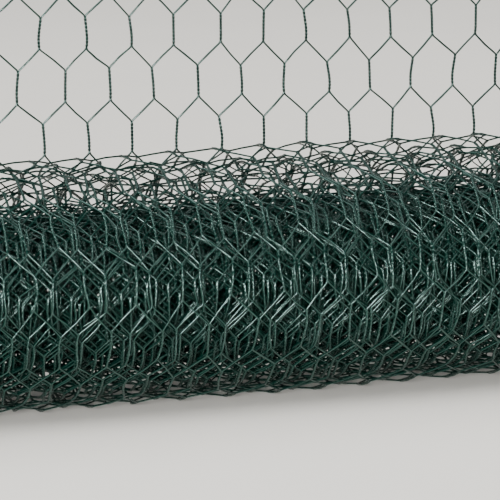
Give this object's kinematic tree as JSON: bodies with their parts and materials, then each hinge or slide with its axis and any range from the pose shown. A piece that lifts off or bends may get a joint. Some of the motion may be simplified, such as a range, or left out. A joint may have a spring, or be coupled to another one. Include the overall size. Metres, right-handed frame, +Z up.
{
  "type": "roll of chicken wire",
  "caption": "Roll of PVC-coated hexagonal wire netting lying on its side, open through its middle, with its outer end drawn off at the back and standing up, cut across a row of twists.",
  "frame": {"origin": "on the floor, under the middle of the roll, halfway along it", "axes": "+X along the roll's axis, +Y to the back, where the free end leaves the roll, +Z up"},
  "size_m": [0.5, 0.131, 0.2481],
  "materials": {
    "pvc_coated_wire": "dark green glossy PVC coating on galvanised steel wire"
  },
  "bodies": {
    "root": {"netting": "pvc_coated_wire"}
  },
  "joints": []
}
